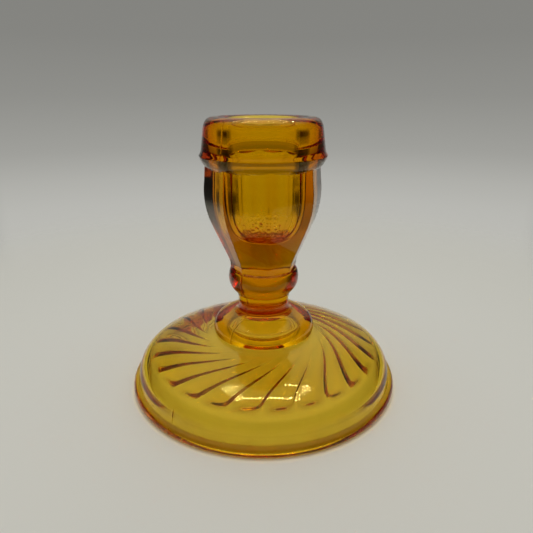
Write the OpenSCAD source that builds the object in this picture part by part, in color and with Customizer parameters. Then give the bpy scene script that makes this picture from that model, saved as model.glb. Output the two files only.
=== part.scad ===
// Pressed glass candlestick: an octagonal candle cup on a swirl-ribbed hollow foot.
// Millimetres, +Z up. The origin is the centre of the ring that it stands on.
// The sections are stacked face to face, in the order that the mould forms them.

/* [Foot] */
// Diameter over the rolled edge that the candlestick stands on
foot_d = 96; // [93:1:101]
// Height of the rolled edge, up to the crease where the skirt starts
edge_h = 3.7; // [3.2:0.1:4.4]
// Thickness of the glass in the skirt and the dome
wall = 3.2; // [2.8:0.1:3.6]
// Radius of the arc that the top of the dome follows
dome_r = 67.2; // [64:0.4:72]
// Slope of the dome where it meets the boss, in degrees
dome_tilt = 6.8; // [5:0.1:8]
// Radius of the shoulder between the dome and the skirt
shoulder_r = 7.5; // [6.8:0.1:8.4]

/* [Swirl ribs] */
// Number of ribs pressed into the underside of the dome
rib_count = 24; // [16:1:26]
// How far a rib stands down from the underside
rib_depth = 1.2; // [0.6:0.1:1.5]
// How far a rib sweeps round between its inner and outer end, in degrees
rib_sweep = 50; // [30:1:70]

/* [Boss and stem] */
// Diameter of the boss in the middle of the foot
boss_d = 36; // [34.4:0.4:37.6]
// Height of the boss above the dome
boss_h = 7; // [6.4:0.1:7.6]
// Height of the round-topped hollow that the plunger leaves under the boss
hollow_top = 22; // [20.5:0.1:23]
// Radius of the top of that hollow
hollow_arc = 22.4; // [18:0.2:26]
// Diameter of the neck above the boss
neck_d = 17.8; // [16:0.2:18.4]
// Diameter of the knop under the candle cup
knop_d = 24.7; // [23.3:0.2:25.7]

/* [Candle cup] */
// Number of flat panels round the cup
panel_count = 8; // [8:2:8]
// Width of the cup over opposite corners, at its widest
cup_d = 40; // [38.4:0.4:40.8]
// Turn of the first corner away from the front, in degrees
cup_turn = 7; // [0:1:22]
// Diameter of the candle socket, made for a 22 mm taper candle
socket_d = 22.8; // [22.2:0.1:23.4]
// Depth of the socket below the mouth
socket_depth = 38.6; // [34:0.2:40]

/* [Collar] */
// Diameter of the sharp lower edge of the collar
collar_d = 42; // [41.6:0.1:43.2]
// Diameter of the collar where its lip starts to round over
lip_d = 38.8; // [37.6:0.1:39.2]
// Diameter of the dished mouth
mouth_d = 29.4; // [27:0.2:30.4]
// Depth of the dished mouth
mouth_h = 3.2; // [2:0.1:3.6]
// Height of the whole candlestick
total_h = 93.6; // [91:0.4:96]

/* [Hidden] */

$fn = 144;
amber = [0.80, 0.55, 0.06, 0.75];
eps = 0.01;

foot_r = foot_d / 2;
boss_r = boss_d / 2;
neck_r = neck_d / 2;
knop_r = knop_d / 2;
socket_r = socket_d / 2;

// Heights of the joint faces between the sections, from the floor up
boss_z = 19.4;
boss_top_z = boss_z + boss_h;
neck_top_z = boss_top_z + 7.2;
cup_z = neck_top_z + 9.6;
collar_z = total_h - 16.4;
collar_edge_z = collar_z + 4.4;
socket_z = total_h - socket_depth;

// A slope angle is measured from the level: 0 is flat and 90 is upright
function on_slope(centre, radius, slope) = centre + radius * [sin(slope), cos(slope)];
function arc(centre, radius, slope_a, slope_b, steps) =
    [for (i = [0 : steps]) on_slope(centre, radius, slope_a + (slope_b - slope_a) * i / steps)];

// The dome and its shoulder are two tangent arcs, drawn as radius and height
dome_centre = [boss_r, boss_z] - dome_r * [sin(dome_tilt), cos(dome_tilt)];
shoulder_slope = 28;
shoulder_centre = on_slope(dome_centre, dome_r - shoulder_r, shoulder_slope);
// The dome is closed by a level face part of the way round the shoulder
split_slope = 60;
skirt_slope = 82;
split_point = on_slope(shoulder_centre, shoulder_r, split_slope);
split_z = split_point.y;
inner_r = shoulder_r - wall;
inner_split_slope = acos((split_z - shoulder_centre.y) / inner_r);
inner_split_point = on_slope(shoulder_centre, inner_r, inner_split_slope);
// Inner face of the skirt and the edge, with a little draft for the plunger
draft_r = 42.6;
rest_inner_r = 44.6;
crease_in = 0.5;

// A ring-shaped section, made from half of its outline
module turned(outline) {
    rotate_extrude() polygon(outline);
}

// Rolled edge: an outward bead round the foot, flat below where it rests
module foot_edge() {
    bead_r = edge_h / 2;
    color(amber) turned(concat(
        [[draft_r, edge_h], [draft_r + 0.2, 2], [rest_inner_r - 0.9, 0.6], [rest_inner_r, 0]],
        [for (a = [-90 : 15 : 60]) [foot_r - bead_r, bead_r] + bead_r * [cos(a), sin(a)]],
        [[crease_r(), edge_h]]));
}
function crease_r() = on_slope(shoulder_centre, shoulder_r, skirt_slope).x + crease_in;

// Skirt: the upright wall between the rolled edge and the dome
module foot_skirt() {
    color(amber) turned(concat(
        [[draft_r, edge_h], [crease_r(), edge_h]],
        arc(shoulder_centre, shoulder_r, skirt_slope, split_slope, 6),
        arc(shoulder_centre, inner_r, inner_split_slope, skirt_slope, 8)));
}

// Swirl dome: smooth above, with swirling ribs pressed into its underside
dome_steps = 6;
shoulder_steps = 3;
under_steps = 11;
roof_steps = 4;
rib_samples = 6;
rib_start_r = 18.4;
rib_end_r = 40.8;
rib_law = 2.3;
around = rib_count * rib_samples;
// How far a ring is turned so that its points follow the ribs
function swirl(r) =
    rib_sweep * pow(max(0, rib_end_r - r) / (rib_end_r - rib_start_r), rib_law);
// Ribs rise from nothing outside the boss and end in round lobes near the skirt
function rib_height(r, phase) =
    let (t = (r - rib_start_r) / (rib_end_r - rib_start_r))
    t <= 0 || t >= 1 ? 0 : rib_depth * min(1, 1.5 * t) * min(1, sqrt(5 * (1 - t))) * pow(cos(phase / 2), 2);
function ring(point) =
    [for (i = [0 : around - 1]) let (a = 360 * i / around + swirl(point.x))
        [point.x * cos(a), point.x * sin(a), point.y]];
function ribbed_ring(point) =
    [for (i = [0 : around - 1]) let (a = 360 * i / around + swirl(point.x))
        [point.x * cos(a), point.x * sin(a),
         point.y - rib_height(point.x, 360 * i / rib_samples)]];

module swirl_dome() {
    top = concat(
        [[boss_r, boss_z]],
        arc(dome_centre, dome_r, dome_tilt + 2, shoulder_slope, dome_steps),
        arc(shoulder_centre, shoulder_r, shoulder_slope + 10, split_slope, shoulder_steps));
    ribbed_r = [for (i = [under_steps : -1 : 0])
        rib_start_r + (rib_end_r - rib_start_r - 0.8) * i / under_steps];
    roof_r = [for (i = [1 : roof_steps]) rib_start_r + (hollow_r - rib_start_r) * i / roof_steps];
    rings = concat(
        [for (p = top) ring(p)],
        [ring(inner_split_point)],
        [for (r = ribbed_r) ribbed_ring([r, under_height(r)])],
        [for (r = roof_r) ring([r, under_height(r)])]);
    count = len(rings);
    points = [for (r = rings) each r];
    faces = [for (k = [0 : count - 1], i = [0 : around - 1])
        let (j = (i + 1) % around, next = (k + 1) % count)
        each [[k * around + i, k * around + j, next * around + i],
              [k * around + j, next * around + j, next * around + i]]];
    color(amber) polyhedron(points, faces, convexity = 6);
}
// Height of the plain underside, a wall's thickness below the dome, with the hollow in the middle
function under_height(r) =
    let (edge = dome_centre.x + (dome_r - wall) * sin(shoulder_slope))
    r > edge ? shoulder_centre.y + sqrt(pow(inner_r, 2) - pow(r - shoulder_centre.x, 2))
             : max(hollow_height(r),
                   dome_centre.y + sqrt(pow(dome_r - wall, 2) - pow(r - dome_centre.x, 2)));
function hollow_height(r) =
    hollow_top - hollow_arc + sqrt(max(0, pow(hollow_arc, 2) - pow(r, 2)));
// Radius of the hollow in the joint face between the dome and the boss
hollow_r = sqrt(pow(hollow_arc, 2) - pow(boss_z - hollow_top + hollow_arc, 2));

// Boss: a round cushion in the middle of the foot, hollow below
hollow_steps = 8;
module boss() {
    z = boss_top_z;
    hollow = [for (i = [0 : hollow_steps]) let (r = hollow_r * i / hollow_steps) [r, hollow_height(r)]];
    color(amber) turned(concat(hollow,
        [[boss_r, boss_z], [boss_r + 0.2, z - 6], [boss_r + 0.1, z - 4.9], [boss_r - 0.4, z - 3.5],
         [boss_r - 1.4, z - 2.2], [boss_r - 3, z - 1.4], [boss_r - 4.6, z - 0.75],
         [neck_r + 2.9, z - 0.35], [neck_r + 1.7, z], [0, z]]));
}

// Neck: the waist between the boss and the knop
module neck() {
    z = boss_top_z;
    color(amber) turned([[0, z], [neck_r + 1.7, z], [neck_r + 0.7, z + 0.9], [neck_r + 0.2, z + 1.9],
        [neck_r, z + 2.9], [neck_r, z + 4], [neck_r + 0.15, z + 5.1], [neck_r + 0.35, z + 6.3],
        [neck_r + 0.5, neck_top_z], [0, neck_top_z]]);
}

// Knop: the round ring that carries the cup
module knop() {
    z = neck_top_z;
    color(amber) turned([[0, z], [neck_r + 0.5, z], [knop_r - 2.5, z + 0.6], [knop_r - 1.7, z + 1.5],
        [knop_r - 0.75, z + 2.8], [knop_r - 0.2, z + 4.3], [knop_r, z + 6], [knop_r - 0.15, z + 7.5],
        [knop_r - 0.6, z + 8.8], [knop_r - 1.3, cup_z], [0, cup_z]]);
}

// Corner radius of the cup: a straight taper that rounds over into a gentle belly
cup_foot_r = 11.4;
belly_r = 27.2;
belly_z = 69.6;
belly_h = 4;
top_taper = 0.07;
taper_slope = atan2(6.8, 15);
function corner_r(z) =
    let (turn_z = belly_z - belly_r * sin(taper_slope),
         turn_r = cup_d / 2 - belly_r * (1 - cos(taper_slope)))
    z < turn_z ? turn_r - (turn_z - z) * (turn_r - cup_foot_r) / (turn_z - cup_z)
               : cup_d / 2 - belly_r + sqrt(pow(belly_r, 2) - pow(min(z - belly_z, belly_h), 2))
                 - top_taper * max(0, z - belly_z - belly_h);
cup_steps = 16;
panel_ratio = cos(180 / panel_count);

// The cup's outside: slabs with the same curved sides, crossed at equal turns
module cup_outside() {
    heights = [for (i = [0 : cup_steps]) cup_z + (collar_z - cup_z) * i / cup_steps];
    intersection_for (k = [0 : panel_count / 2 - 1])
        rotate([0, 0, cup_turn - 90 + (k + 0.5) * 360 / panel_count])
            rotate([90, 0, 0])
                linear_extrude(height = 2 * cup_d, center = true)
                    polygon(concat(
                        [for (z = heights) [panel_ratio * corner_r(z), z]],
                        [for (i = [cup_steps : -1 : 0])
                            [-panel_ratio * corner_r(heights[i]), heights[i]]]));
}

// Socket floor rounds up into the straight wall, as the plunger leaves it
socket_round = 8;
module socket_below(top_z) {
    translate([0, 0, socket_z + socket_round])
        cylinder(r = socket_r, h = top_z - socket_z - socket_round + eps);
    turned(concat(
        [[0, socket_z]],
        [for (a = [-90 : 10 : 0])
            [socket_r - socket_round, socket_z + socket_round] + socket_round * [cos(a), sin(a)]],
        [[0, socket_z + socket_round]]));
}

// Candle cup: eight flat panels round a blind socket
module candle_cup() {
    color(amber) difference() {
        cup_outside();
        socket_below(collar_z);
    }
}

// Collar: a drip-edged band that tapers up to a rounded lip and a dished mouth
module collar() {
    bore_top = total_h - mouth_h;
    lip_r = lip_d / 2;
    under_r = corner_r(collar_z);
    color(amber) difference() {
        turned([[0, collar_z], [under_r, collar_z], [under_r + 1.1, collar_z + 1.9],
            [collar_d / 2, collar_edge_z], [collar_d / 2 - 0.6, collar_edge_z + 1.3],
            [collar_d / 2 - 1.2, collar_edge_z + 5.6], [lip_r, total_h - 3.5],
            [lip_r - 0.5, total_h - 1.9], [lip_r - 1.3, total_h - 0.8], [lip_r - 2.5, total_h - 0.15],
            [lip_r - 4, total_h], [0, total_h]]);
        translate([0, 0, collar_z - eps])
            cylinder(r = socket_r, h = bore_top - collar_z + 2 * eps);
        translate([0, 0, bore_top])
            turned([[0, 0], [socket_r, 0], [socket_r + 0.7, 0.45 * mouth_h],
                [socket_r + 1.8, 0.85 * mouth_h], [mouth_d / 2, mouth_h], [mouth_d / 2, mouth_h + 1],
                [0, mouth_h + 1]]);
    }
}

foot_edge();
foot_skirt();
swirl_dome();
boss();
neck();
knop();
candle_cup();
collar();
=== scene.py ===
import math

import bpy
import numpy as np
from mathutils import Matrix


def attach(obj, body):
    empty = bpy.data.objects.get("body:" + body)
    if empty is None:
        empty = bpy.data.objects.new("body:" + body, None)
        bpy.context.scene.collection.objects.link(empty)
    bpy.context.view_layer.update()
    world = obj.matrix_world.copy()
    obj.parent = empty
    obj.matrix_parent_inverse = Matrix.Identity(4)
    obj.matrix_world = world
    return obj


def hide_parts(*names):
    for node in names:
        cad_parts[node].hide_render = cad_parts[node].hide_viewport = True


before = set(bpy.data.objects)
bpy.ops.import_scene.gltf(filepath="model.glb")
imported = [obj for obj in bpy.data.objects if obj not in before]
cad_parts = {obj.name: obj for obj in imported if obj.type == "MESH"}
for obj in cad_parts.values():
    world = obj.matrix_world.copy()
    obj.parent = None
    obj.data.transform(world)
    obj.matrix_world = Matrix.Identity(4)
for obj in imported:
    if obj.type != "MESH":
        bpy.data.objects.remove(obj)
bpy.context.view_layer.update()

# ---- Camera -----------------------------------------------------------------
# It stands a little above the candle cup and looks down at the foot. Light meets many surfaces of
# clear glass on its way, so the paths are allowed to be long.
scene = bpy.context.scene
scene.view_settings.view_transform = "Standard"
scene.cycles.max_bounces = 32
scene.cycles.transmission_bounces = 32
scene.cycles.glossy_bounces = 12
scene.cycles.transparent_max_bounces = 96
scene.cycles.caustics_refractive = True
scene.cycles.caustics_reflective = True
scene.cycles.blur_glossy = 0.0
scene.cycles.sample_clamp_indirect = 10.0

look_down = 19.66
camera_data = bpy.data.cameras.new("camera")
camera_data.sensor_width = 36.0
camera_data.lens = 32.4
camera_data.clip_start = 0.01
camera = bpy.data.objects.new("camera", camera_data)
scene.collection.objects.link(camera)
camera.location = (0.00104, -0.16024, 0.09992)
camera.rotation_euler = (math.radians(90.0 - look_down), 0.0, 0.0)
scene.camera = camera

# ---- Table --------------------------------------------------------------------
# A sheet of matt off-white paper that curves up behind the candlestick. It fades into the pale
# surroundings at the back, and ends just before the camera.
table_radius = 0.48
fade_from, fade_to = 0.144, 0.336
front_from, front_to = -0.096, -0.136
bpy.ops.mesh.primitive_circle_add(vertices=96, radius=table_radius, fill_type="TRIFAN",
                                  location=(0.0, 0.0, -0.00002))
table = bpy.context.object
table.name = "table"
paper = bpy.data.materials.new("pale_table")
paper.use_nodes = True
tree = paper.node_tree
base = tree.nodes["Principled BSDF"]
base.inputs["Base Color"].default_value = (0.76, 0.755, 0.72, 1.0)
base.inputs["Roughness"].default_value = 0.8
base.inputs["Specular IOR Level"].default_value = 0.1
place = tree.nodes.new("ShaderNodeNewGeometry")
distance = tree.nodes.new("ShaderNodeVectorMath")
distance.operation = "LENGTH"
tree.links.new(place.outputs["Position"], distance.inputs[0])
fade = tree.nodes.new("ShaderNodeMapRange")
fade.interpolation_type = "SMOOTHERSTEP"
fade.inputs["From Min"].default_value = fade_from
fade.inputs["From Max"].default_value = fade_to
tree.links.new(distance.outputs["Value"], fade.inputs["Value"])
along = tree.nodes.new("ShaderNodeSeparateXYZ")
tree.links.new(place.outputs["Position"], along.inputs[0])
front_edge = tree.nodes.new("ShaderNodeMapRange")
front_edge.interpolation_type = "SMOOTHSTEP"
front_edge.inputs["From Min"].default_value = front_from
front_edge.inputs["From Max"].default_value = front_to
tree.links.new(along.outputs["Y"], front_edge.inputs["Value"])
gone = tree.nodes.new("ShaderNodeMath")
gone.operation = "MAXIMUM"
tree.links.new(fade.outputs["Result"], gone.inputs[0])
tree.links.new(front_edge.outputs["Result"], gone.inputs[1])
clear = tree.nodes.new("ShaderNodeBsdfTransparent")
sheet = tree.nodes.new("ShaderNodeMixShader")
tree.links.new(gone.outputs[0], sheet.inputs["Fac"])
tree.links.new(base.outputs[0], sheet.inputs[1])
tree.links.new(clear.outputs[0], sheet.inputs[2])
tree.links.new(sheet.outputs[0], tree.nodes["Material Output"].inputs["Surface"])
table.data.materials.append(paper)

# ---- Surroundings ---------------------------------------------------------------
# A small light tent: pale paper below and behind, a greyer band at eye level, and a bright ceiling.
# The room is dark past the tent's open sides and behind the camera, which gives the glass its dark
# lines and patches.
world = bpy.data.worlds.new("light_tent")
scene.world = world
world.use_nodes = True
tent = world.node_tree
coord = tent.nodes.new("ShaderNodeTexCoord")
towards = tent.nodes.new("ShaderNodeSeparateXYZ")
tent.links.new(coord.outputs["Generated"], towards.inputs[0])


def grade(tree, value, lowest, highest, stops):
    """Grey levels over a value's range; each stop is (value, level)."""
    span = tree.nodes.new("ShaderNodeMapRange")
    span.inputs["From Min"].default_value = lowest
    span.inputs["From Max"].default_value = highest
    tree.links.new(value, span.inputs["Value"])
    ramp = tree.nodes.new("ShaderNodeValToRGB")
    tree.links.new(span.outputs["Result"], ramp.inputs["Fac"])
    elements = ramp.color_ramp.elements
    for n, (stop, level) in enumerate(stops):
        position = (stop - lowest) / (highest - lowest)
        if n < 2:
            element = elements[n]
            element.position = position
        else:
            element = elements.new(position)
        element.color = (level, level, level, 1.0)
    return ramp.outputs["Color"]


def blend(tree, mode, factor, first, second):
    """One colour mixing node; factor and colours are sockets or plain values."""
    node = tree.nodes.new("ShaderNodeMix")
    node.data_type = "RGBA"
    node.blend_type = mode
    for name, value in (("Factor", factor), ("A", first), ("B", second)):
        if isinstance(value, bpy.types.NodeSocket):
            tree.links.new(value, node.inputs[name])
        elif name == "Factor":
            node.inputs[name].default_value = value
        else:
            node.inputs[name].default_value = (*value, 1.0)
    return node.outputs["Result"]


# Levels by height, from straight down (-1) to straight up (1)
height = towards.outputs["Z"]
wall_level = grade(tent, height, -1.0, 1.0, [
    (-1.0, 0.53), (-0.30, 0.525), (-0.20, 0.475), (-0.155, 0.43), (-0.10, 0.35), (0.0, 0.275),
    (0.10, 0.235), (0.17, 0.23), (0.26, 0.36), (0.40, 0.48), (0.60, 0.65), (0.80, 1.05), (1.0, 1.15)])
floor_or_ceiling = grade(tent, height, -1.0, 1.0, [
    (-1.0, 1.0), (-0.45, 1.0), (-0.28, 0.0), (0.0, 0.0), (0.50, 0.0), (0.80, 1.0), (1.0, 1.0)])
ceiling = grade(tent, height, -1.0, 1.0, [(-1.0, 0.0), (0.40, 0.0), (0.75, 1.0), (1.0, 1.0)])

# Levels by the turn away from the back wall (0), either way round to the front (pi)
sideways = tent.nodes.new("ShaderNodeMath")
sideways.operation = "ABSOLUTE"
tent.links.new(towards.outputs["X"], sideways.inputs[0])
turn = tent.nodes.new("ShaderNodeMath")
turn.operation = "ARCTAN2"
tent.links.new(sideways.outputs[0], turn.inputs[0])
tent.links.new(towards.outputs["Y"], turn.inputs[1])
side_level = grade(tent, turn.outputs[0], 0.0, math.pi, [
    (0.0, 1.0), (0.51, 1.0), (0.60, 0.50), (0.75, 0.18), (1.2, 0.05), (math.pi, 0.05)])
front_level = grade(tent, turn.outputs[0], 0.0, math.pi, [
    (0.0, 1.0), (1.6, 1.0), (2.1, 0.15), (math.pi, 0.10)])

full = (1.0, 1.0, 1.0)
warm_white = (1.0, 0.995, 0.93)
sides = blend(tent, "MIX", floor_or_ceiling, side_level, full)
front = blend(tent, "MIX", ceiling, front_level, full)
level = blend(tent, "MULTIPLY", 1.0, wall_level, sides)
level = blend(tent, "MULTIPLY", 1.0, level, front)
level = blend(tent, "MULTIPLY", 1.0, level, warm_white)
tent.links.new(level, tent.nodes["Background"].inputs["Color"])

# ---- Overhead light -----------------------------------------------------------
# A soft panel in the roof of the tent. It lights the paper, and the glass shows only the rows of
# beads round it.
panel_height = 0.24
lamp_data = bpy.data.lights.new("overhead", "AREA")
lamp_data.shape = "RECTANGLE"
lamp_data.size = 0.176
lamp_data.size_y = 0.096
lamp_data.energy = 0.064
lamp = bpy.data.objects.new("overhead", lamp_data)
lamp.location = (0.0, 0.008, panel_height)
lamp.visible_glossy = False
lamp.visible_transmission = False
scene.collection.objects.link(lamp)

# ---- Rows of light beads --------------------------------------------------------
# Small bright beads on strips round the roof panel, three strips wide at its two ends. They shine
# as a dotted frame in the front of the foot.
led = bpy.data.materials.new("led_beads")
led.use_nodes = True
led.node_tree.nodes.clear()
glow = led.node_tree.nodes.new("ShaderNodeEmission")
glow.inputs["Color"].default_value = (1.0, 0.97, 0.90, 1.0)
glow.inputs["Strength"].default_value = 140.0
led_end = led.node_tree.nodes.new("ShaderNodeOutputMaterial")
led.node_tree.links.new(glow.outputs[0], led_end.inputs["Surface"])
panel_corners = [(-0.0792, 0.0288), (0.0968, 0.0352), (0.0632, -0.0096), (-0.0496, -0.0112)]
strips = (1, 3, 1, 3)
bead_apart = 0.0072
bead_half = 0.00128
verts, faces = [], []
for n, rows in enumerate(strips):
    start = np.array(panel_corners[n])
    run = np.array(panel_corners[(n + 1) % 4]) - start
    length = np.hypot(*run)
    across = np.array([run[1], -run[0]]) / length
    for row in range(rows):
        for t in np.linspace(0.0, 1.0, int(length / bead_apart)):
            x, y = start + run * t + across * (row - (rows - 1) / 2) * bead_apart
            k = len(verts)
            for dx, dy in ((-1, -1), (-1, 1), (1, 1), (1, -1)):
                verts.append((x + dx * bead_half, y + dy * bead_half, panel_height))
            faces.append((k, k + 1, k + 2, k + 3))
led_mesh = bpy.data.meshes.new("led_rows")
led_mesh.from_pydata(verts, [], faces)
led_mesh.materials.append(led)
led_rows = bpy.data.objects.new("led_rows", led_mesh)
led_rows.visible_diffuse = False
led_rows.visible_camera = False
scene.collection.objects.link(led_rows)

# ---- Rolled edge of the foot ------------------------------------------------------
# The candlestick is one pressing of clear amber glass, fire-polished. It stands on the flat underside
# of a rolled bead. Two fine seams run up it, where the halves of the mould meet.
# Radii and heights are in units of a foot 120 across.
UNIT = 0.0008


def amber_glass():
    """Clear glass that turns deeper amber with thickness; light passes a joint face untouched."""
    glass = bpy.data.materials.new("amber_glass")
    glass.use_nodes = True
    tree = glass.node_tree
    skin = tree.nodes["Principled BSDF"]
    skin.inputs["Base Color"].default_value = (1.0, 0.98, 0.92, 1.0)
    skin.inputs["Specular Tint"].default_value = (1.0, 0.78, 0.20, 1.0)
    skin.inputs["Roughness"].default_value = 0.0
    skin.inputs["IOR"].default_value = 1.5
    skin.inputs["Transmission Weight"].default_value = 1.0
    joint = tree.nodes.new("ShaderNodeAttribute")
    joint.attribute_name = "joint_face"
    through = tree.nodes.new("ShaderNodeBsdfTransparent")
    surface = tree.nodes.new("ShaderNodeMixShader")
    tree.links.new(joint.outputs["Fac"], surface.inputs["Fac"])
    tree.links.new(skin.outputs[0], surface.inputs[1])
    tree.links.new(through.outputs[0], surface.inputs[2])
    body = tree.nodes.new("ShaderNodeVolumeAbsorption")
    body.inputs["Color"].default_value = (0.970, 0.867, 0.0, 1.0)
    body.inputs["Density"].default_value = 450.0
    end = tree.nodes["Material Output"]
    tree.links.new(surface.outputs[0], end.inputs["Surface"])
    tree.links.new(body.outputs[0], end.inputs["Volume"])
    return glass


glass = amber_glass()

# Azimuths are in degrees from the front, and corner is the first corner of the eight-sided cup
corner = 7.0
cup_sides = 8
side_turn = 45.0
columns_round, column_turn = 480, 0.75
seams = (-38.0, 142.0)
seam_columns = np.array([-0.5, -0.3, -0.12, 0.12, 0.3, 0.5])


def around(warp):
    """Azimuths of the columns of the mesh, crowded to the cup's corners by warp."""
    even = corner + np.arange(columns_round) * column_turn
    by_seams = np.concatenate([seam_columns + s for s in seams])
    a = np.sort(np.mod(np.concatenate([even, by_seams]) - corner, 360.0)) + corner
    return a - warp * np.degrees(np.sin(np.radians(cup_sides * (a - corner)))) / cup_sides


FOOT_AZ = around(0.0)


def ring(az, r, z):
    a = np.radians(az)
    r = np.broadcast_to(r, a.shape)
    z = np.broadcast_to(z, a.shape)
    return np.stack([r * np.sin(a), -r * np.cos(a), z], axis=1)


def seam(az, r, high, width=0.25):
    """Height of the fine raised line where the two halves of the mould meet."""
    out = 0.0
    for s in seams:
        off = np.radians(np.mod(az - s + 180.0, 360.0) - 180.0) * r
        out = out + high * np.exp(-(off / width) ** 2)
    return out


def curve(points, step):
    """A smooth line through the points, resampled about every step."""
    p = np.array(points, float)
    p = np.vstack([2 * p[0] - p[1], p, 2 * p[-1] - p[-2]])
    fine = []
    for i in range(1, len(p) - 2):
        a, b, c, d = p[i - 1:i + 3]
        for t in np.linspace(0, 1, 24, endpoint=False):
            fine.append(0.5 * (2 * b + (c - a) * t + (2 * a - 5 * b + 4 * c - d) * t ** 2
                               + (3 * b - a - 3 * c + d) * t ** 3))
    fine.append(p[-2])
    fine = np.array(fine)
    run = np.concatenate([[0], np.cumsum(np.hypot(*np.diff(fine, axis=0).T))])
    count = max(2, int(round(run[-1] / step)) + 1)
    s = np.linspace(0, run[-1], count)
    return np.stack([np.interp(s, run, fine[:, 0]), np.interp(s, run, fine[:, 1])], axis=1)


joint_gap = 0.012
joint_inset = 0.02
sharp_over = 38


def sunk(rim, up, radius, into=-1):
    """A rim of a joint face, a hair inside the glass, so that two joint faces never touch."""
    face = rim.copy()
    face[:, :2] *= 1 + into * joint_inset / radius
    face[:, 2] += joint_gap if up else -joint_gap
    return face


def pressing(name, rings, joints, closed):
    """One section of the pressing, from a stack of rings; joints are the strips on joint faces."""
    verts, starts = [], []
    for r in rings:
        starts.append(sum(len(v) for v in verts))
        verts.append(np.atleast_2d(r))
    count = len(rings)
    pairs = [(i, i + 1) for i in range(count - 1)]
    if closed:
        pairs.append((count - 1, 0))
    faces, is_joint = [], []
    for n, (i, j) in enumerate(pairs):
        here, there = starts[i], starts[j]
        columns = max(len(verts[i]), len(verts[j]))
        k = np.arange(columns)
        after = (k + 1) % columns
        if len(verts[i]) == 1:
            strip = [np.full(columns, here), there + k, there + after]
        elif len(verts[j]) == 1:
            strip = [here + k, np.full(columns, there), here + after]
        else:
            strip = [here + k, there + k, there + after, here + after]
        faces += np.stack(strip, axis=1).tolist()
        is_joint += [1.0 if n in joints else 0.0] * columns
    mesh = bpy.data.meshes.new(name)
    mesh.from_pydata((np.vstack(verts) * UNIT).tolist(), [], faces)
    mesh.attributes.new("joint_face", "FLOAT", "FACE").data.foreach_set("value", is_joint)
    mesh.polygons.foreach_set("use_smooth", [True] * len(faces))
    mesh.set_sharp_from_angle(angle=math.radians(sharp_over))
    mesh.update()
    piece = bpy.data.objects.new(name, mesh)
    scene.collection.objects.link(piece)
    mesh.materials.append(glass)
    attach(piece, "root")
    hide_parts(name)


def on_arc(centre, radius, slope):
    """A point of an arc, as radius and height; slope is 0 where it is level and 90 upright."""
    s = math.radians(slope)
    return centre + radius * np.array([math.sin(s), math.cos(s)])


# The shoulder over the skirt is two arcs round one centre, outside and inside
shoulder_c = np.array([47.806, 6.636])
shoulder_out, shoulder_in = 9.4, 5.8
skirt_slope = 82.0
edge_h = 4.6
skirt_r = 57.0
skirt_end = on_arc(shoulder_c, shoulder_out, skirt_slope)
crease = (skirt_end[0] + 0.6, edge_h)
inner_end = on_arc(shoulder_c, shoulder_in, skirt_slope)
inner_foot = (inner_end[0] + 0.15, edge_h)

bead = curve([crease, (58.6, 4.35), (59.4, 3.8), (59.9, 2.9), (60.0, 2.1), (59.8, 1.2), (59.2, 0.45),
              (58.4, 0.08), (57.7, 0.0)], 0.35)
inside = curve([(56.4, 0.0), (55.4, 0.35), (54.5, 1.2), (inner_foot[0] + 0.25, 2.6), inner_foot], 0.4)
rings = [ring(FOOT_AZ, r + seam(FOOT_AZ, r, 0.15) * (z > 0.5), z) for r, z in bead]
rings += [ring(FOOT_AZ, r, z) for r, z in inside]
n0 = len(rings) - 1
rings += [sunk(rings[-1], False, inner_foot[0], 1), sunk(rings[0], False, skirt_r)]
pressing("foot_edge", rings, {n0, n0 + 1, n0 + 2}, True)

# ---- Skirt --------------------------------------------------------------------
# The nearly upright wall between the rolled edge and the dome, 3.6 thick, with a rounded shoulder
# above. The mould's draft leans it in by a few degrees.
split_slope = 60.0
split_z = on_arc(shoulder_c, shoulder_out, split_slope)[1]
split_in = shoulder_c[0] + math.sqrt(shoulder_in ** 2 - (split_z - shoulder_c[1]) ** 2)
split_in_slope = math.degrees(math.asin((split_in - shoulder_c[0]) / shoulder_in))
outer_slopes = [split_slope, 60.1, *np.arange(61.5, 80.6, 1.5), 81.9, skirt_slope]
inner_slopes = [*np.linspace(skirt_slope, split_in_slope + 0.6, 24), split_in_slope + 0.1, split_in_slope]

flare = curve([skirt_end, (skirt_end[0] + 0.25, 6.2), crease], 0.5)[1:]
outside = np.vstack([[on_arc(shoulder_c, shoulder_out, s) for s in outer_slopes], flare])
inside = [inner_foot, (inner_end[0] + 0.05, 6.0)]
inside += [on_arc(shoulder_c, shoulder_in, s) for s in inner_slopes]
rings = []
for r, z in outside:
    rings.append(ring(FOOT_AZ, r + seam(FOOT_AZ, r, 0.15 if z < 11.3 else 0.1), z))
n0 = len(rings) - 1
rings += [sunk(rings[-1], True, skirt_r), sunk(ring(FOOT_AZ, *inner_foot), True, inner_foot[0], 1)]
rings += [ring(FOOT_AZ, r, z) for r, z in inside]
n1 = len(rings) - 1
rings += [sunk(rings[-1], False, inside[-1][0], 1), sunk(rings[0], False, skirt_r)]
pressing("foot_skirt", rings, {n0, n0 + 1, n0 + 2, n1, n1 + 1, n1 + 2}, True)

# ---- Swirl dome ----------------------------------------------------------------
# The shallow dome of the foot is smooth and glossy above. The plunger presses 24 rounded ribs into
# its underside, which swirl out from the boss and die away over the shoulder.
dome_c, dome_r = np.array([12.554, -59.109]), 84.0
dome_tilt, dome_end = 6.8, 28.0
dome_wall = 4.0
shoulder_wall = shoulder_out - shoulder_in
boss_z, boss_rim = 24.3, 22.53
split_r = 55.0
hollow_top, hollow_arc = 27.5, 28.0
rib_in, rib_out, rib_tip, rib_end = 23.0, 54.0, 51.15, 45.5
rib_grow = 21.0
rib_depth = 1.5
swirl_sweep, swirl_bend = 50.0, 2.3
thin_from, thin_over = 42.0, 8.0
blend_r, blend_soft = 25.0, 0.3
rib_turn = 15.0
rib_phase = 1.5


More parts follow.
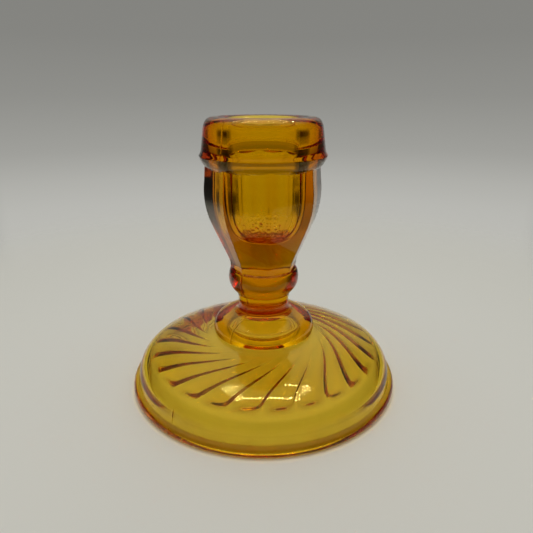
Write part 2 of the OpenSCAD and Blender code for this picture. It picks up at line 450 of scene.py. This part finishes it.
def ease(t):
    """From 0 to 1, with a soft start and a soft end."""
    t = np.clip(t, 0.0, 1.0)
    return t * t * (3 - 2 * t)


def hollow_z(r):
    """The round-topped hollow that the plunger leaves under the boss."""
    return hollow_top - hollow_arc + np.sqrt(hollow_arc ** 2 - np.minimum(r, hollow_arc - 1.0) ** 2)


def under_z(r):
    """Height of the plain underside: the shoulder, the dome, and the hollow in the middle."""
    dome_edge = dome_c[0] + (dome_r - shoulder_wall) * math.sin(math.radians(dome_end))
    arc = dome_r - dome_wall + (dome_wall - shoulder_wall) * ease((r - thin_from) / thin_over)
    dome = dome_c[1] + np.sqrt(arc ** 2 - (r - dome_c[0]) ** 2)
    x = np.clip(r - shoulder_c[0], 0.0, shoulder_in - 0.001)
    shoulder = shoulder_c[1] + np.sqrt(shoulder_in ** 2 - x ** 2)
    roof = np.where(r <= dome_edge, dome, shoulder)
    hollow = hollow_z(r)
    soft = np.sqrt((roof - hollow) ** 2 + blend_soft)
    return np.where(r < blend_r, 0.5 * (roof + hollow + soft), roof)


def swirl(r):
    """How far round the ribs have swept at a radius, in degrees."""
    return swirl_sweep * np.maximum(0.0, (rib_out - r) / (rib_out - rib_in)) ** swirl_bend


def rib(az, r):
    """How far the ribs stand down: rounded bars side by side that die away at both ends."""
    side = (np.mod(az + rib_phase, rib_turn) - rib_turn / 2) / (rib_turn / 2)
    grow = ease((r - rib_in) / rib_grow) * ease((rib_tip - r) / (rib_tip - rib_end))
    return rib_depth * grow * (1 - np.abs(side) ** 3)


trial_r = np.linspace(22.0, 4.0, 400)
hollow_r = float(np.interp(boss_z, under_z(trial_r), trial_r))
inner_turn = FOOT_AZ + swirl(rib_in)
top = [on_arc(dome_c, dome_r, s) for s in np.linspace(dome_tilt, dome_end + 0.2, 60)]
top += [on_arc(shoulder_c, shoulder_out, s) for s in [*np.arange(29.0, 59.6, 1.5), 59.9, split_slope]]
rings = [ring(FOOT_AZ, boss_rim, boss_z - joint_gap)]
for r, z in top:
    rings.append(ring(FOOT_AZ, r + (seam(FOOT_AZ, r, 0.1) if r > 48 else 0.0), z))
n0 = len(rings) - 1
split_ring = ring(FOOT_AZ, split_in, split_z)
rings += [sunk(rings[-1], True, split_r), sunk(split_ring, True, split_in, 1), split_ring]
ribbed_r = [[split_in - 0.02], np.arange(split_in - 0.15, 50.0, -0.15), np.arange(50.0, 46.0, -0.4),
            np.arange(46.0, 22.0, -0.6)]
for r in np.concatenate(ribbed_r):
    rings.append(ring(FOOT_AZ + swirl(r), r, under_z(r) - rib(FOOT_AZ, r)))
rings += [ring(inner_turn, r, under_z(r)) for r in np.linspace(21.6, hollow_r, 12)]
n1 = len(rings) - 1
rings.append(ring(inner_turn, hollow_r + joint_inset, boss_z - joint_gap))
pressing("swirl_dome", rings, {0, n0, n0 + 1, n0 + 2, n1, n1 + 1}, True)

# ---- Boss ------------------------------------------------------------------------
# A thick round cushion in the middle of the foot. The hollow under it is what shows in it as a
# bright eye from the front.
CUP_AZ = around(0.7)


def lid(rim, up):
    """Rings of a whole flat joint face, from its rim to its centre."""
    face = sunk(rim, up, np.hypot(rim[:, 0], rim[:, 1]).max())
    return [face, np.array([[0.0, 0.0, face[0, 2]]])]


def pole(z):
    return np.array([[0.0, 0.0, z]])


boss_r = 22.0
outline = curve([(13.2, 33.0), (14.8, 32.55), (16.8, 32.05), (18.8, 31.3), (20.7, 30.2), (22.0, 28.6),
                 (22.65, 26.8), (22.75, 25.5), (22.55, boss_z)], 0.35)
rings = [ring(CUP_AZ, r + seam(CUP_AZ, r, 0.2), z) for r, z in outline]
rings = lid(rings[0], False)[::-1] + rings
n0 = len(rings) - 1
rings += [sunk(rings[-1], True, boss_r), sunk(ring(CUP_AZ, hollow_r, boss_z), True, hollow_r, 1)]
rings += [ring(CUP_AZ, r, hollow_z(r)) for r in np.linspace(hollow_r, 0.6, 24)]
rings.append(pole(hollow_top))
pressing("boss", rings, {0, 1, n0, n0 + 1, n0 + 2}, False)


# ---- Neck --------------------------------------------------------------------------
# The solid waist over the boss, turned smooth in the mould. The two seams show on it as fine dark
# lines.
def turned(name, points):
    """A solid round section with a joint face at both ends."""
    rings = [ring(CUP_AZ, r + seam(CUP_AZ, r, 0.3, 0.3), z) for r, z in curve(points, 0.35)]
    n = len(rings) + 2
    pressing(name, lid(rings[0], False)[::-1] + rings + lid(rings[-1], True), {0, 1, n - 1, n}, False)


turned("neck", [(11.75, 42.0), (11.55, 40.9), (11.3, 39.4), (11.1, 38.0), (11.1, 36.6),
                (11.35, 35.4), (12.0, 34.1), (13.2, 33.0)])

# ---- Knop ------------------------------------------------------------------------
# The round ring of solid glass that carries the cup. It is pressed in one with the neck below it,
# and the same two seams cross it.
turned("knop", [(13.9, 54.0), (14.7, 53.0), (15.25, 51.4), (15.45, 49.5), (15.2, 47.4),
                (14.5, 45.5), (13.3, 43.9), (12.2, 42.7), (11.75, 42.0)])

# ---- Candle cup --------------------------------------------------------------------
# An urn with eight flat sides, its corners rounded by fire polishing. The socket for the candle is
# pressed into it to about a third of its height, and small grains stand on its wall low down.
cup_bottom, cup_top = 54.0, 96.5
top_r, socket_r = 22.0, 10.0
softness = 120
socket = [(3.5, 68.8), (6.8, 69.5), (9.8, 71.6), (12.0, 74.9), (13.3, 79.0), (13.9, 84.0), (14.1, 90.0),
          (14.2, 95.0), (14.5, 99.5), (14.9, 104.0), (15.1, 109.0), (15.2, 112.5), (15.6, 114.8),
          (16.7, 116.4), (18.4, 117.0)]


def corner_radius(z):
    """Radius of the cup's corners: a straight taper that rounds over into a gentle belly."""
    z = np.asarray(z, float)
    belly, belly_z, belly_r = 25.0, 87.0, 34.0
    slope = math.atan2(6.8, 15.0)
    turn_z = belly_z - belly_r * math.sin(slope)
    turn_r = belly - belly_r * (1 - math.cos(slope))
    taper = turn_r - (turn_z - z) * math.tan(slope)
    taper = np.maximum(taper, 14.3) + 0.35 * np.exp(-((z - 55.5) / 1.6) ** 2)
    round_over = belly - belly_r + np.sqrt(belly_r ** 2 - np.minimum(z - belly_z, 5.0) ** 2)
    round_over = round_over - 0.07 * np.maximum(0.0, z - belly_z - 5.0)
    return np.where(z < turn_z, taper, round_over)


def panels(az, z):
    """Radius of the eight-sided cup at an azimuth."""
    flat = corner_radius(z) * math.cos(math.pi / cup_sides)
    total = 0.0
    for k in range(cup_sides):
        c = np.cos(np.radians(az - corner - side_turn / 2 - side_turn * k))
        total = total + np.maximum(c, 0.0) ** softness
    return flat / total ** (1 / softness)


grains = 80
socket_wall = 13.0
chance = np.random.default_rng(7)
grain_az = chance.normal(0.0, 17.0, grains)
grain_z = chance.normal(77.2, 2.2, grains)
grain_size = chance.uniform(0.22, 0.55, grains)
grain_h = chance.uniform(0.05, 0.22, grains)
signed_az = np.mod(CUP_AZ + 180.0, 360.0) - 180.0


def grain_height(z):
    """How far the grains stand off the wall of the socket at a height."""
    off = np.radians(signed_az[:, None] - grain_az) * socket_wall
    far = off ** 2 + (z - grain_z) ** 2
    return (grain_h * np.exp(-far / grain_size ** 2)).sum(axis=1)


bore = curve(socket, 0.45)
joint_r = float(np.interp(cup_top, bore[:, 1], bore[:, 0]))
floor_r, floor_z = bore[0]
rings = [pole(floor_z)]
rings += [ring(CUP_AZ, r, floor_z) for r in np.arange(1.0, floor_r - 0.5, 1.0)]
rings += [ring(CUP_AZ, r - grain_height(z), z) for r, z in curve(socket, 0.24) if z < 84.0]
rings += [ring(CUP_AZ, r, z) for r, z in bore if 84.1 < z < cup_top - 0.1]
rings.append(ring(CUP_AZ, joint_r, cup_top))
n0 = len(rings) - 1
top_rim = ring(CUP_AZ, panels(CUP_AZ, cup_top), cup_top)
rings += [sunk(rings[-1], False, socket_r, 1), sunk(top_rim, False, top_r)]
for z in np.concatenate([np.linspace(cup_top, 60.0, 40), np.linspace(59.5, cup_bottom, 14)]):
    r = panels(CUP_AZ, z)
    rings.append(ring(CUP_AZ, r + seam(CUP_AZ, r, 0.12), z))
n1 = len(rings) - 1
rings += lid(rings[-1], True)
pressing("candle_cup", rings, {n0, n0 + 1, n0 + 2, n1, n1 + 1}, False)

# ---- Collar --------------------------------------------------------------------------
# The round band at the top: a sharp drip edge below, a lip rounded by fire polishing above, and the
# mouth of the socket, which flares a little.
drip_edge = curve([(26.3, 101.95), (25.7, 100.3), (24.5, 98.4), (22.6, 96.95), (20.0, 96.0)], 0.35)
band = curve([(19.4, 116.95), (21.2, 116.8), (22.7, 116.0), (23.7, 114.6), (24.25, 112.6),
              (24.75, 109.0), (25.2, 105.6), (25.55, 103.6), (26.3, 102.05)], 0.45)
rings = [ring(CUP_AZ, joint_r, cup_top)]
rings += [ring(CUP_AZ, r, z) for r, z in bore if z > cup_top + 0.1]
for r, z in band:
    rings.append(ring(CUP_AZ, r + (seam(CUP_AZ, r, 0.12) if r > 20 and z < 116 else 0.0), z))
for r, z in drip_edge:
    if z > cup_top + 0.1:
        rings.append(ring(CUP_AZ, np.maximum(r, panels(CUP_AZ, z)), z))
rings.append(top_rim)
n0 = len(rings) - 1
rings += [sunk(top_rim, True, top_r), sunk(rings[0], True, socket_r, 1)]
pressing("collar", rings, {n0, n0 + 1, n0 + 2}, True)
